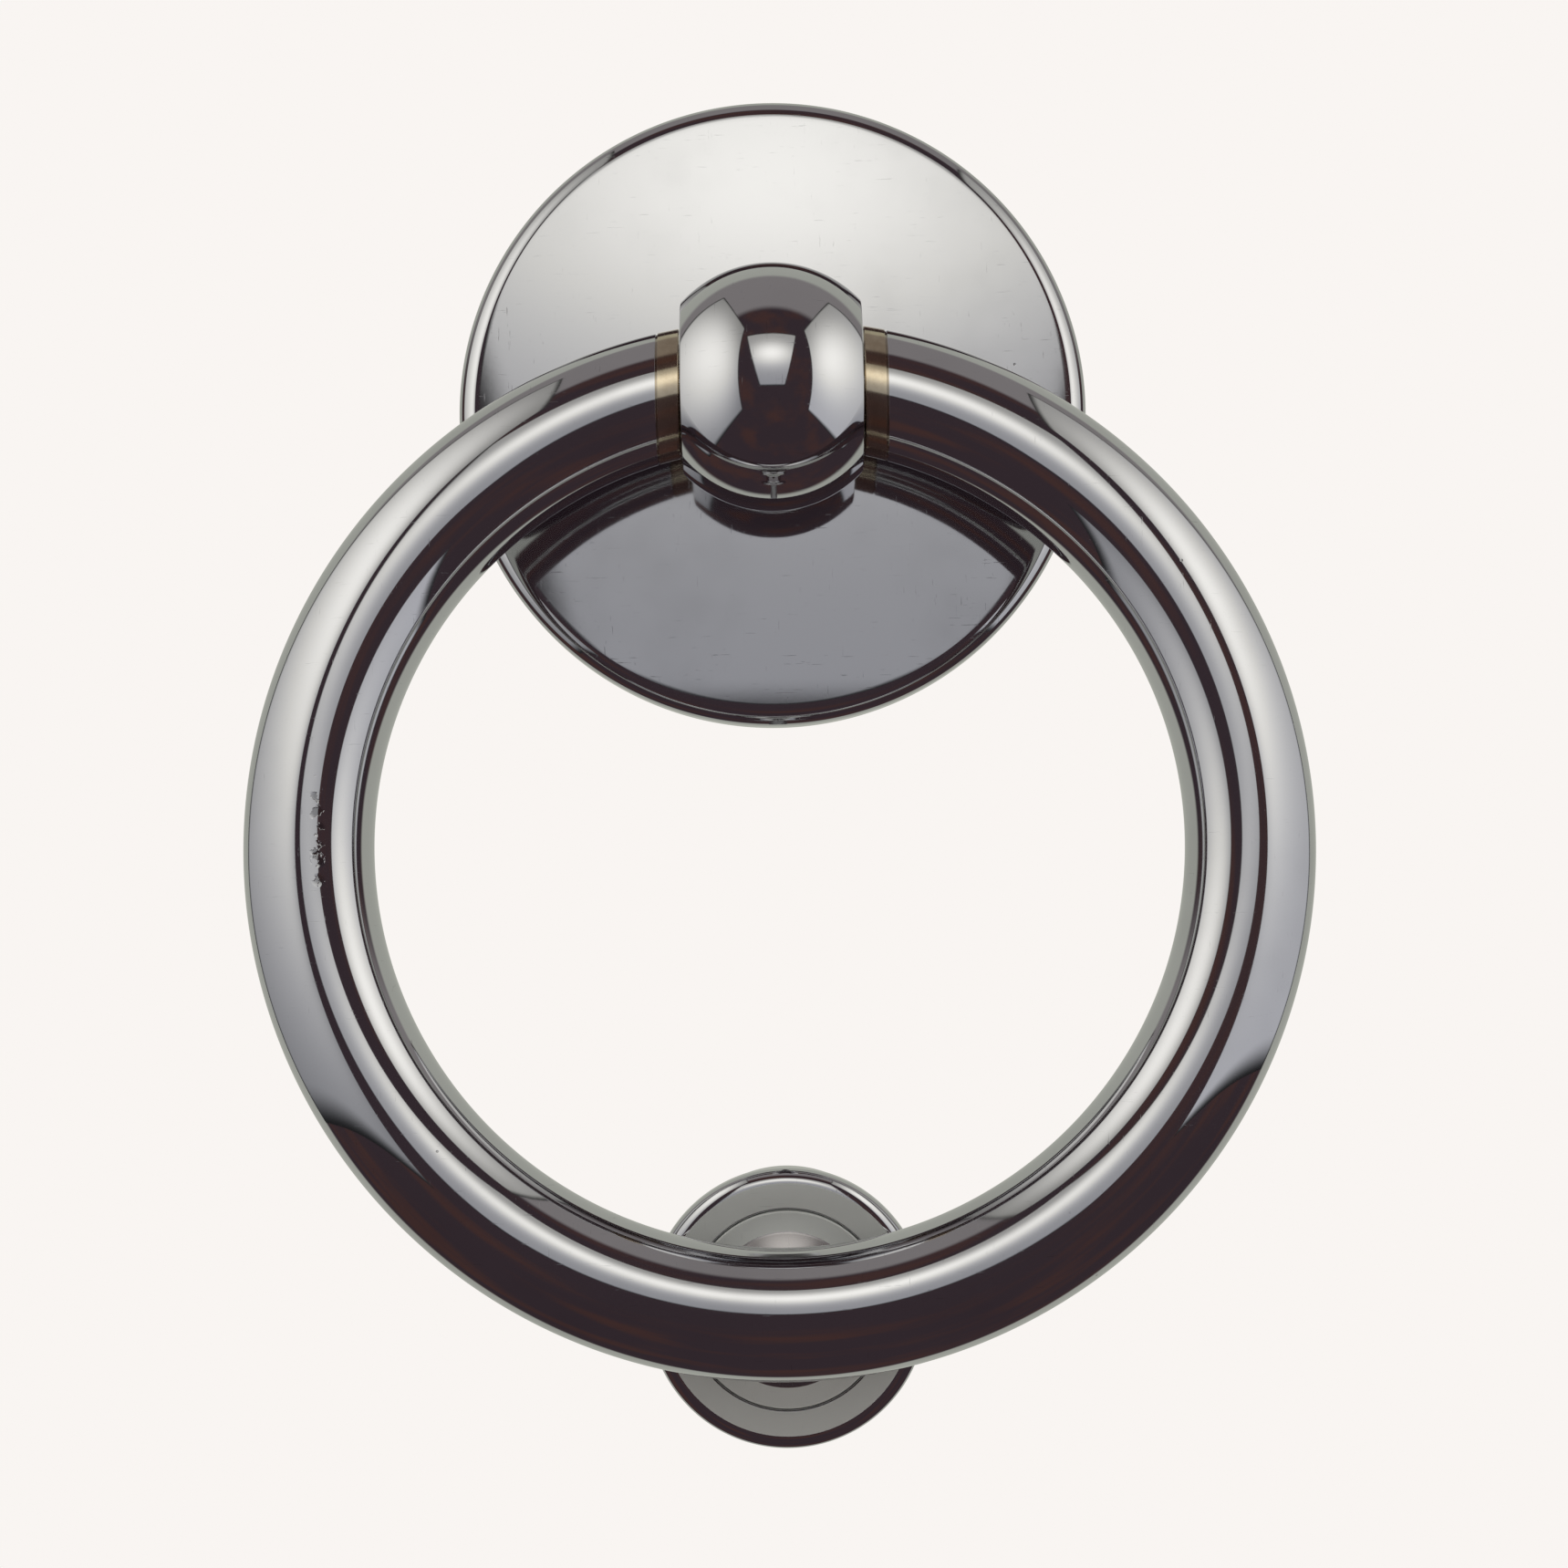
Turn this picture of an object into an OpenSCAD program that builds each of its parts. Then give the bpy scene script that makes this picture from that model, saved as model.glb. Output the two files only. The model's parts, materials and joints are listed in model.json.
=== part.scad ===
// Ring door knocker: a domed round backplate, a ball knuckle that carries a swinging ring,
// and a separate striker that the ring falls on. Millimetres, +Z up, front faces -Y.
// The origin is the middle of the backplate's back face, which lies on the door.

/* [Backplate] */
// Diameter of the round backplate
plate_d = 65; // [52:1:90]
// Thickness of the backplate at its middle
plate_t = 6.2; // [5.6:0.1:9]
// Radius of the shallow dome on the front face
plate_dome_r = 600; // [350:10:1200]
// Radius of the rounded rim
plate_edge_r = 2; // [1:0.1:3]
// Diameter of the hollow in the back that hides the post nut
recess_d = 21; // [20:0.5:26]
// Thickness of plate left between that hollow and the knuckle's seat
web_t = 1.7; // [1.2:0.1:2.2]
// Depth of the flat seat cut for the knuckle's neck
seat_t = 0.3; // [0.2:0.05:0.6]

/* [Knuckle] */
// Diameter of the ball
knuckle_d = 24.4; // [21:0.1:30]
// Width across the two flat sides that face the ring's ends
knuckle_w = 17.7; // [15:0.1:22]
// Height of the ring's pivot line off the door
pivot_h = 20.5; // [18.5:0.1:26]
// Diameter of the neck between ball and backplate
neck_d = 15.6; // [14:0.1:17]
// Diameter of the threaded spigot that passes through the backplate
spigot_d = 10; // [9:0.5:10.5]

/* [Ring] */
// Diameter of the ring, measured along the middle of its bar
ring_d = 90.6; // [72:0.1:120]
// Diameter of the round bar that the ring is bent from
bar_d = 12.5; // [11:0.1:15]
// How far the middle of the bar would pass above the pivot line
ring_rise = 0.4; // [0:0.1:1]
// Width of the brass collar on each end of the ring
collar_w = 2.2; // [1:0.1:4]
// Play between each collar and the knuckle's flat side
side_gap = 0.15; // [0.1:0.05:0.4]

/* [Pivot] */
// Diameter of the two pivot pins
pin_d = 5; // [4:0.1:5.4]
// Length of pin held in each end of the ring
pin_grip = 6; // [4:0.1:6.5]
// Radial running clearance of a pin in its bush
pin_clear = 0.03; // [0.02:0.01:0.08]
// Wall of the bushes
bush_wall = 1.5; // [1:0.1:2]
// Gap between the inner ends of the two bushes
bush_gap = 2.4; // [1.5:0.1:4]
// Diameter of the grub screws that lock the pins
grub_d = 3; // [2.5:0.1:3.5]
// Distance of each grub screw from the ring's cut end
grub_in = 2.9; // [2:0.1:3.5]

/* [Striker] */
// Height of the striker, from the door to the top of its domed anvil
striker_h = 25.2; // [22:0.1:32]
// Diameter of the striker's head
striker_d = 27; // [24:0.1:34]
// How far the striker's axis sits below the middle of the hanging ring's bar
striker_low = 0.5; // [0:0.1:2]
// Thickness of the head at its rim
head_t = 6; // [5:0.1:7]
// Radius of the head's rounded edge
head_edge_r = 1.5; // [0.8:0.1:2.4]
// Diameter of the anvil let into the head
anvil_d = 19.2; // [16:0.1:21]
// Depth of the anvil's pocket
anvil_t = 3.5; // [2.5:0.1:4.5]
// Diameter of the dome on the anvil
dome_d = 15; // [12:0.1:15.5]
// Height of the dome on the anvil
dome_h = 1.6; // [1:0.1:2.5]
// Diameter of the striker's stem
stem_d = 15; // [14:0.1:16]
// Radius of the flare where the stem meets the foot and the head
flare_r = 2.6; // [1:0.1:2.8]
// Diameter of the striker's foot
foot_d = 24; // [20:0.1:26]
// Thickness of the striker's foot
foot_t = 3.5; // [3:0.1:5]

/* [Fixings] */
// Diameter of the two studs that pass through the door
stud_d = 6; // [5:0.5:6]
// Length of stud that stands out behind the door face
stud_out = 50; // [30:1:90]
// Diameter of each stud's root, which is screwed into the knuckle or the striker
stud_root_d = 5; // [4:0.5:5]
// Length of that root, in front of the door face
stud_in = 11.5; // [9:0.1:12]
// Radial clearance of a screw thread in its nut or hole
thread_gap = 0.05; // [0.03:0.01:0.1]
// Width of the post nut across its flats
nut_af = 14; // [13:0.1:15]
// Thickness of the post nut
nut_t = 2.6; // [2:0.1:2.8]
// Thickness of the lock washer
washer_t = 1.2; // [0.8:0.1:1.4]
// Outer diameter of the lock washer
washer_d = 15.4; // [13:0.1:16.5]
// Diameter of the dowel that stops the knuckle turning
dowel_d = 2.4; // [1.8:0.1:2.6]
// Length of dowel sunk in the knuckle's neck
dowel_in = 2.4; // [1.5:0.1:4]

/* [Hidden] */
$fn = 96;
eps = 0.01;
// Clear distance between the ring and the anvil when the ring hangs at rest
rest_gap = 0.1;
// Small bevels on pins, studs and the seam round the anvil
bevel = 0.4;
seam_bevel = 0.25;
// How far behind the door face a stud steps up from its root to its full diameter
stud_step = 0.6;
// Depth of a blind hole past what it holds
hole_spare = 0.5;
// Length of spigot sunk in the neck, so that the two are one piece
spigot_root = 2;
// How far each bush stops short of the knuckle's flat side
bush_in = 0.2;
// Radial play of the anvil in its pocket
anvil_play = 0.05;
// Diameter and length of the spigot that is pressed into the head behind the anvil
anvil_spigot_d = 7;
anvil_spigot_l = 6;
// Rounded edges of the head's underside and of the foot
underside_r = 3;
foot_edge_r = 1.5;
// Width of the lock washer's slit
washer_slit = 1.2;
// How deep each grub screw sits below the bar's surface, and its hexagon socket
grub_sunk = 0.4;
grub_key_af = 1.5;
grub_key_t = 1.5;
// Diametral clearance of the knuckle's spigot and neck in the backplate
bore_gap = 0.1;

ring_r = ring_d / 2;
bar_r = bar_d / 2;
ball_r = knuckle_d / 2;
flat_x = knuckle_w / 2;
collar_x0 = flat_x + side_gap;
collar_x1 = collar_x0 + collar_w;
// Distance from the pivot line to the ring's own centre, and to the far side of the bar's middle
ring_hang = ring_r - ring_rise;
ring_reach = ring_hang + ring_r;
// The ring leans out by what the striker's height asks for, and the striker sits at its lowest point
lean = asin((striker_h + rest_gap + bar_r - pivot_h) / ring_reach);
drop = ring_reach * cos(lean) + striker_low;

// Heights off the door face of the neck's seat, the hollow's floor, and the nut with the spigot's end
seat_z = plate_t - seat_t;
recess_t = seat_z - web_t;
nut_z = recess_t - washer_t - nut_t;
dowel_r = (spigot_d + neck_d) / 4;
bush_d = pin_d + 2 * pin_clear + 2 * bush_wall;
bush_x0 = bush_gap / 2;
bush_x1 = flat_x - bush_in;
pin_x0 = bush_x0 + bevel;
pin_x1 = collar_x1 + pin_grip;
grub_x = collar_x1 + grub_in;
// Where the back of the bar lies at the grub screw, measured square to the ring's plane
grub_off = sqrt(pow(grub_x, 2) + pow(ring_hang, 2)) - ring_r;
grub_y1 = sqrt(pow(bar_r, 2) - pow(grub_off, 2)) - grub_sunk;
face_z = striker_h - dome_h;
head_z = face_z - head_t;
pocket_z = face_z - anvil_t;

// Turns a shape built along +Z so that its +Z points off the door, towards the front
module off_door() rotate([90, 0, 0]) children();

// Puts a shape on the striker's axis, along +Z off the door
module at_striker() translate([0, 0, -drop]) off_door() children();

// Puts a shape on the pivot line, with the ring's plane upright and its centre below
module on_pivot() translate([0, -pivot_h, 0]) rotate([-lean, 0, 0]) children();

// A rod along +X from x0 to x1
module rod_x(r, x0, x1) translate([x0, 0, 0]) rotate([0, 90, 0]) cylinder(r = r, h = x1 - x0);

// A rod with bevelled ends along +Z from z0 to z1
module bevelled_rod(r, z0, z1) {
    rotate_extrude() polygon([
        [0, z0], [r - bevel, z0], [r, z0 + bevel],
        [r, z1 - bevel], [r - bevel, z1], [0, z1]
    ]);
}

// Half outline of the backplate: a shallow dome that runs into a rounded rim
module plate_outline() {
    rim_x = plate_d / 2 - plate_edge_r;
    inner_r = plate_dome_r - plate_edge_r;
    dome_z = plate_t - plate_dome_r;
    rim_z = dome_z + sqrt(pow(inner_r, 2) - pow(rim_x, 2));
    meet_x = rim_x * plate_dome_r / inner_r;
    intersection() {
        translate([0, dome_z]) circle(r = plate_dome_r, $fn = 1440);
        square([meet_x, plate_t]);
    }
    translate([rim_x, rim_z]) circle(r = plate_edge_r);
    square([plate_d / 2, rim_z]);
}

module backplate() color("gainsboro") off_door() difference() {
    rotate_extrude($fn = 180) intersection() {
        plate_outline();
        square([plate_d, plate_t]);
    }
    translate([0, 0, -eps]) cylinder(d = recess_d, h = recess_t + eps);
    cylinder(d = spigot_d + bore_gap, h = plate_t);
    translate([0, 0, seat_z]) cylinder(d = neck_d + bore_gap, h = plate_t);
    translate([0, dowel_r, 0]) cylinder(d = dowel_d, h = plate_t);
}

module knuckle() color("gainsboro") difference() {
    union() {
        // the flats cut the ball, and the neck too where the knuckle is narrower than its neck
        intersection() {
            union() {
                translate([0, -pivot_h, 0]) sphere(r = ball_r);
                off_door() translate([0, 0, seat_z])
                    cylinder(d = neck_d, h = pivot_h - ball_r / 2 - seat_z);
            }
            cube([knuckle_w, 4 * pivot_h, 2 * knuckle_d], center = true);
        }
        off_door() translate([0, 0, nut_z]) cylinder(d = spigot_d, h = seat_z - nut_z + spigot_root);
    }
    translate([0, -pivot_h, 0]) rod_x(bush_d / 2, -ball_r, ball_r);
    off_door() cylinder(r = stud_root_d / 2 + thread_gap, h = stud_in + hole_spare);
    off_door() translate([0, dowel_r, seat_z - eps]) cylinder(d = dowel_d, h = dowel_in + eps);
}

module post_nut() color("silver") off_door() translate([0, 0, nut_z]) difference() {
    intersection() {
        cylinder(d = nut_af / cos(30), h = nut_t, $fn = 6);
        cylinder(d1 = nut_af, d2 = nut_af + 4 * nut_t, h = nut_t);
    }
    translate([0, 0, -eps]) cylinder(r = spigot_d / 2 + thread_gap, h = nut_t + 2 * eps);
}

module post_lock_washer() color("silver") off_door() translate([0, 0, recess_t - washer_t]) difference() {
    cylinder(d = washer_d, h = washer_t);
    translate([0, 0, -eps]) cylinder(d = spigot_d + 2 * bore_gap, h = washer_t + 2 * eps);
    translate([0, -washer_slit / 2, -eps]) cube([washer_d, washer_slit, washer_t + 2 * eps]);
}

module anti_turn_dowel() color("silver") off_door() translate([0, dowel_r, recess_t])
    cylinder(d = dowel_d, h = web_t + dowel_in);

// One plain bush; side is -1 for left and 1 for right
module bush(side) color("goldenrod") translate([0, -pivot_h, 0]) mirror([side < 0 ? 1 : 0, 0, 0]) difference() {
    rod_x(bush_d / 2, bush_x0, bush_x1);
    rod_x(pin_d / 2 + pin_clear, bush_x0 - eps, bush_x1 + eps);
}
module bush_left() bush(-1);
module bush_right() bush(1);

// A stud along +Z: its root, and the longer stretch that passes through the door
module stud() color("silver") {
    bevelled_rod(stud_root_d / 2, -2 * stud_step, stud_in);
    bevelled_rod(stud_d / 2, -stud_out, -stud_step);
}
module head_stud() off_door() stud();
module striker_stud() at_striker() stud();

// The whole bar of the ring, standing in the plane y = 0 and centred below the pivot line
module bar_ring() translate([0, 0, -ring_hang]) rotate([90, 0, 0])
    rotate_extrude($fn = 240) translate([ring_r, 0]) circle(r = bar_r);

// The stretch of space between x0 and x1 beside the knuckle, above the ring's centre
module end_slab(x0, x1) translate([x0, -bar_d, -ring_hang]) cube([x1 - x0, 2 * bar_d, 2 * ring_hang]);

module ring() color("gainsboro") on_pivot() difference() {
    bar_ring();
    end_slab(-collar_x1, collar_x1);
    for (side = [-1, 1]) mirror([side < 0 ? 1 : 0, 0, 0]) {
        rod_x(pin_d / 2, collar_x1 - eps, pin_x1 + bevel);
        translate([grub_x, 0, 0]) rotate([-90, 0, 0]) cylinder(d = grub_d, h = bar_d);
    }
}

module collar(side) color("darkgoldenrod") on_pivot() mirror([side < 0 ? 1 : 0, 0, 0]) difference() {
    intersection() {
        bar_ring();
        end_slab(collar_x0, collar_x1);
    }
    rod_x(pin_d / 2, collar_x0 - eps, collar_x1 + eps);
}
module collar_left() collar(-1);
module collar_right() collar(1);

module pivot_pin(side) color("silver") on_pivot() mirror([side < 0 ? 1 : 0, 0, 0]) rotate([0, 90, 0])
    bevelled_rod(pin_d / 2, pin_x0, pin_x1);
module pivot_pin_left() pivot_pin(-1);
module pivot_pin_right() pivot_pin(1);

module pin_grub_screws() color("dimgray") on_pivot() for (side = [-1, 1])
    mirror([side < 0 ? 1 : 0, 0, 0]) translate([grub_x, 0, 0]) rotate([-90, 0, 0]) difference() {
        translate([0, 0, pin_d / 2]) cylinder(d = grub_d, h = grub_y1 - pin_d / 2);
        translate([0, 0, grub_y1 - grub_key_t])
            cylinder(d = grub_key_af / cos(30), h = grub_key_t + eps, $fn = 6);
    }

// A half outline of a disc from z0 to z1, with one rounded edge: the top one, or the bottom one
module round_disc(r, z0, z1, edge_r, top) {
    edge_z = top ? z1 - edge_r : z0 + edge_r;
    translate([0, z0]) square([r - edge_r, z1 - z0]);
    translate([0, top ? z0 : edge_z]) square([r, z1 - z0 - edge_r]);
    translate([r - edge_r, edge_z]) circle(r = edge_r);
}

module striker_body() color("gainsboro") at_striker() difference() {
    union() {
        rotate_extrude() round_disc(foot_d / 2, 0, foot_t, foot_edge_r, true);
        // the stem flares out into the foot and the head
        rotate_extrude() difference() {
            translate([0, foot_t - eps]) square([stem_d / 2 + flare_r, head_z - foot_t + 2 * eps]);
            translate([stem_d / 2 + flare_r, foot_t + flare_r]) circle(r = flare_r);
            translate([stem_d / 2 + flare_r, head_z - flare_r]) circle(r = flare_r);
            translate([stem_d / 2, foot_t + flare_r]) square([striker_d, head_z - foot_t - 2 * flare_r]);
        }
        rotate_extrude() round_disc(striker_d / 2, head_z, head_z + underside_r + eps, underside_r, false);
        rotate_extrude() round_disc(striker_d / 2, head_z + underside_r, face_z, head_edge_r, true);
    }
    translate([0, 0, pocket_z]) cylinder(d = anvil_d, h = anvil_t + eps);
    translate([0, 0, face_z - seam_bevel])
        cylinder(d1 = anvil_d, d2 = anvil_d + 2 * seam_bevel, h = seam_bevel + eps);
    translate([0, 0, pocket_z - anvil_spigot_l - hole_spare])
        cylinder(d = anvil_spigot_d, h = anvil_spigot_l + hole_spare + eps);
    translate([0, 0, -eps]) cylinder(r = stud_root_d / 2 + thread_gap, h = stud_in + hole_spare + eps);
    // the hole's mouth is as wide as the stud is behind the door face
    translate([0, 0, -eps]) cylinder(r = stud_d / 2 + thread_gap, h = stud_step + eps);
}

module striker_anvil() color("gainsboro") at_striker() {
    rim = anvil_d / 2 - anvil_play;
    dome_r = (pow(dome_d / 2, 2) + pow(dome_h, 2)) / (2 * dome_h);
    rotate_extrude() {
        polygon([
            [0, pocket_z], [rim, pocket_z], [rim, face_z - seam_bevel],
            [rim - seam_bevel, face_z], [0, face_z]
        ]);
        translate([0, pocket_z - anvil_spigot_l]) square([anvil_spigot_d / 2, anvil_spigot_l + eps]);
        intersection() {
            translate([0, striker_h - dome_r]) circle(r = dome_r, $fn = 360);
            translate([0, face_z - eps]) square([dome_d, dome_h + 2 * eps]);
        }
    }
}

backplate();
knuckle();
post_nut();
post_lock_washer();
anti_turn_dowel();
bush_left();
bush_right();
head_stud();
ring();
collar_left();
collar_right();
pivot_pin_left();
pivot_pin_right();
pin_grub_screws();
striker_body();
striker_anvil();
striker_stud();
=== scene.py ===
# %% [markdown]
# # A chromed ring door knocker
# This notebook dresses a finished door knocker in Blender. The hard parts already exist as exact
# solids. We load them as a fixed frame, measure them, and build smoother and more detailed pieces
# in the same places, because a mirror finish shows every flat facet of a coarse mesh.

import json
import math

import bmesh
import bpy
from mathutils import Matrix, Vector


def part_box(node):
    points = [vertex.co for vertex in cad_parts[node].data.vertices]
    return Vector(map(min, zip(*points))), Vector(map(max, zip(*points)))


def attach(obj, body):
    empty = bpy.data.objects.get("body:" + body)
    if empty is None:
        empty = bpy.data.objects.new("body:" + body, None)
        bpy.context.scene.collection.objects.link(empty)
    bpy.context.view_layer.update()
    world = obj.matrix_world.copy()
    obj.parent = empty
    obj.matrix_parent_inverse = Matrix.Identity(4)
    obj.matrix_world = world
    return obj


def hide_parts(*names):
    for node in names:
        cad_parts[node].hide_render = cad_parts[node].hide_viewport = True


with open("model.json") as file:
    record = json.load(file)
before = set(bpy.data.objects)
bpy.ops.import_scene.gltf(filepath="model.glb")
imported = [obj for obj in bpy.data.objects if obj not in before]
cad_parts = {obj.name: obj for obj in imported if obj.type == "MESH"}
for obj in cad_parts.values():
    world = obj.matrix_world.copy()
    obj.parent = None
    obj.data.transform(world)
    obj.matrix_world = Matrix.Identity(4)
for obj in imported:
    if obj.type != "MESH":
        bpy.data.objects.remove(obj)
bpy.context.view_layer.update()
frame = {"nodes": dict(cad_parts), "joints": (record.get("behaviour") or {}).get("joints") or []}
mm = 0.001
print("parts in the frame:", ", ".join(sorted(frame["nodes"])))

# %% [markdown]
# ## Measure the knocker
# Every size we need can be read from the boxes round the parts. The ring is the interesting one: it
# hangs from its pivot and leans out a little, because the striker holds its lowest point off the door.
# Once the bar's thickness is known, its widest, lowest and foremost points give the rest.

# %% Sizes read from the frame
swing = frame["joints"][0]
pivot = Vector(swing["pos_m"])
plate_low, plate_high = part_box("backplate")
plate_r = plate_high.x
knuckle_low, knuckle_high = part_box("knuckle")
flat_x = knuckle_high.x
ball_r = pivot.y - knuckle_low.y
striker_low, striker_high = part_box("striker_body")
striker_z = (striker_low.z + striker_high.z) / 2
head_r = striker_high.x
face_h = -striker_low.y
anvil_low, anvil_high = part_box("striker_anvil")
anvil_r = anvil_high.x
anvil_top = -anvil_low.y

ring_low, ring_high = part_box("ring")
bar_r = 6.25 * mm
ring_r = ring_high.x - bar_r
reach_out = pivot.y - bar_r - ring_low.y
reach_down = -bar_r - ring_low.z
ring_reach = math.hypot(reach_down, reach_out)
ring_hang = ring_reach - ring_r
lean = math.atan2(reach_out, reach_down)
collar_low, collar_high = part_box("collar_right")
collar_x0 = collar_low.x
collar_x1 = collar_high.x
print(f"ring {2 * ring_r / mm:.1f} mm across, bar {2 * bar_r / mm:.1f} mm")
print(f"lean {math.degrees(lean):.2f} degrees")

# %% [markdown]
# ## Turning on the lathe
# The plate, ball and striker of a knocker are turned on a lathe, so we make them the same way: draw
# half an outline once and spin it. Corners are never perfectly sharp on polished work, so a small
# helper rounds each corner of the outline with an arc. The arc needs the corners on both sides of it,
# so an outline starts on a corner that stays sharp. Where a piece has a hole through it, the outline
# closes on itself.

# %% Round the corners of an outline
def rounded(corners, steps=7):
    """Points along an outline of (radius, height, rounding) corners, each rounding an arc."""
    points = []
    for i, (r, h, rounding) in enumerate(corners):
        here = Vector((r, h))
        if not rounding:
            points.append(here)
            continue
        before = Vector(corners[i - 1][:2]) - here
        after = Vector(corners[(i + 1) % len(corners)][:2]) - here
        opening = before.angle(after) / 2
        along = rounding / math.tan(opening)
        halfway = (before.normalized() + after.normalized()).normalized()
        middle = here + halfway * rounding / math.sin(opening)
        first = here + before.normalized() * along - middle
        last = here + after.normalized() * along - middle
        turn = first.angle_signed(last)
        for k in range(steps + 1):
            points.append(middle + Matrix.Rotation(-turn * k / steps, 2) @ first)
    return points


# %% Spin an outline into a closed mesh
weld = 1e-7


def flow_shading(piece, angle=32):
    """Smooth shading, with a hard line only where two faces meet at a real edge."""
    piece.data.shade_smooth()
    piece.data.set_sharp_from_angle(angle=math.radians(angle))


def new_piece(name, verts, faces):
    mesh = bpy.data.meshes.new(name)
    mesh.from_pydata(verts, [], faces)
    mesh.validate()
    bm = bmesh.new()
    bm.from_mesh(mesh)
    bmesh.ops.remove_doubles(bm, verts=bm.verts, dist=weld)
    bmesh.ops.dissolve_degenerate(bm, edges=bm.edges, dist=weld)
    bmesh.ops.recalc_face_normals(bm, faces=bm.faces)
    bm.to_mesh(mesh)
    bm.free()
    piece = bpy.data.objects.new(name, mesh)
    bpy.context.scene.collection.objects.link(piece)
    flow_shading(piece)
    return piece


def place_off_door(r, angle, h, z=0.0):
    """A point at height h off the door, on a circle of radius r round an axis at height z."""
    return (r * math.cos(angle), -h, z + r * math.sin(angle))


def place_along_x(r, angle, h, z=0.0):
    """A point at distance h along the pivot line, on a circle of radius r round that line."""
    return (h, pivot.y + r * math.cos(angle), pivot.z + z + r * math.sin(angle))


def turned(name, outline, place, turns=240, z=0.0, closed=False):
    """Spin an outline of (radius, height) points; a closed outline makes a piece with a hole."""
    verts = []
    for r, h in outline:
        verts += [place(r, math.tau * k / turns, h, z) for k in range(turns)]
    rows = len(outline)
    faces = []
    for i in range(rows if closed else rows - 1):
        for k in range(turns):
            a = i * turns + k
            b = i * turns + (k + 1) % turns
            up = ((i + 1) % rows - i) * turns
            faces.append((a, b, b + up, a + up))
    return new_piece(name, verts, faces)


# %% Join and drill
drill_sides = 64
overshoot = mm


def carve(piece, tool, operation):
    """Join a tool to a piece or cut it out of the piece; the tool itself is used up."""
    step = piece.modifiers.new("carve", "BOOLEAN")
    step.operation = operation
    step.solver = "EXACT"
    step.object = tool
    with bpy.context.temp_override(object=piece, active_object=piece):
        bpy.ops.object.modifier_apply(modifier="carve")
    bpy.data.objects.remove(tool)
    flow_shading(piece)


def drill(piece, start, along, depth, r):
    """Drill a round hole of radius r into a piece, from a start point along a direction."""
    rod = []
    turn = along.to_track_quat("Z", "Y")
    for h in (0.0, depth):
        for k in range(drill_sides):
            a = math.tau * k / drill_sides
            rod.append(start + turn @ Vector((r * math.cos(a), r * math.sin(a), h)))
    faces = []
    for k in range(drill_sides):
        after = (k + 1) % drill_sides
        faces.append((k, after, drill_sides + after, drill_sides + k))
    faces.append(tuple(range(drill_sides - 1, -1, -1)))
    faces.append(tuple(range(drill_sides, 2 * drill_sides)))
    carve(piece, new_piece("drill", rod, faces), "DIFFERENCE")


print("lathe, joining and drilling are ready")

# %% [markdown]
# ## The backplate
# A cast brass disc with a very shallow dome on the front, turned true and plated. The dome is a
# piece of a big circle, so its slow curve bends reflections only a little. Its middle is cut away for
# the knuckle's neck, so the plate's box ends at the edge of that cut, a hair below the dome's top.
# The back has a hollow for the nut that holds the knuckle, and a flat face that lies on the door.

# %% Turn the backplate
dome_r = 600 * mm
rim_r = 2 * mm
neck_r = 7.8 * mm
running_gap = 0.05 * mm
plate_t = -plate_low.y + dome_r - math.sqrt(dome_r ** 2 - (neck_r + running_gap) ** 2)
spigot_r = 5 * mm
recess_r = 10.5 * mm
seat_h = plate_t - 0.3 * mm
web_t = 1.7 * mm
break_edge = 0.25 * mm
recess_fillet = 0.4 * mm
dome_steps = 60
rim_steps = 24


def plate_front():
    """The dome from the neck's seat to the rim, then round the rim to the back."""
    rim_x = plate_r - rim_r
    centre_h = plate_t - dome_r
    rim_h = centre_h + math.sqrt((dome_r - rim_r) ** 2 - rim_x ** 2)
    meet = math.asin(rim_x / (dome_r - rim_r))
    start = math.asin((neck_r + running_gap) / dome_r)
    dome = []
    for k in range(dome_steps + 1):
        a = start + (meet - start) * k / dome_steps
        dome.append(Vector((dome_r * math.sin(a), centre_h + dome_r * math.cos(a))))
    rim = []
    for k in range(1, rim_steps + 1):
        a = meet + (math.pi / 2 - meet) * k / rim_steps
        rim.append(Vector((rim_x + rim_r * math.sin(a), rim_h + rim_r * math.cos(a))))
    return dome + rim


plate_back = rounded([
    (plate_r, 2 * break_edge, 0),
    (plate_r, 0.0, break_edge),
    (recess_r, 0.0, break_edge),
    (recess_r, seat_h - web_t, recess_fillet),
    (spigot_r + running_gap, seat_h - web_t, 0),
    (spigot_r + running_gap, seat_h, 0),
    (neck_r + running_gap, seat_h, 0),
])
backplate = turned("backplate_turned", plate_front() + plate_back, place_off_door, turns=360, closed=True)
dowel_low, dowel_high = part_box("anti_turn_dowel")
dowel_r = dowel_high.x
dowel_z = (dowel_low.z + dowel_high.z) / 2
forwards = Vector((0, -1, 0))
drill(backplate, Vector((0, overshoot, dowel_z)), forwards, plate_t, dowel_r)
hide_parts("backplate")
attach(backplate, "fixed")
print("backplate faces:", len(backplate.data.polygons))

# %% [markdown]
# ## The knuckle
# A solid ball, flattened on two sides so that the ends of the ring can sit close to it, on a short
# neck. The flattened ball is round about the pivot line, so it is turned about that line, with its
# rounded edges and the hole for the bushes. The neck is turned about the other axis, and a boolean
# joins the two into one skin, as one lump of brass.

# %% Turn the ball and its neck
bush_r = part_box("bush_right")[1].z + running_gap
stud_low, stud_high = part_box("head_stud")
stud_root = 2.5 * mm
stud_step = 0.6 * mm
root_hole_r = stud_root + running_gap
hole_spare = 0.5 * mm
ball_edge = 0.35 * mm
neck_root = 12 * mm
spigot_h = 0.4 * mm
spigot_bevel = 0.4 * mm
ball_steps = 60
edge_steps = 10


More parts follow.
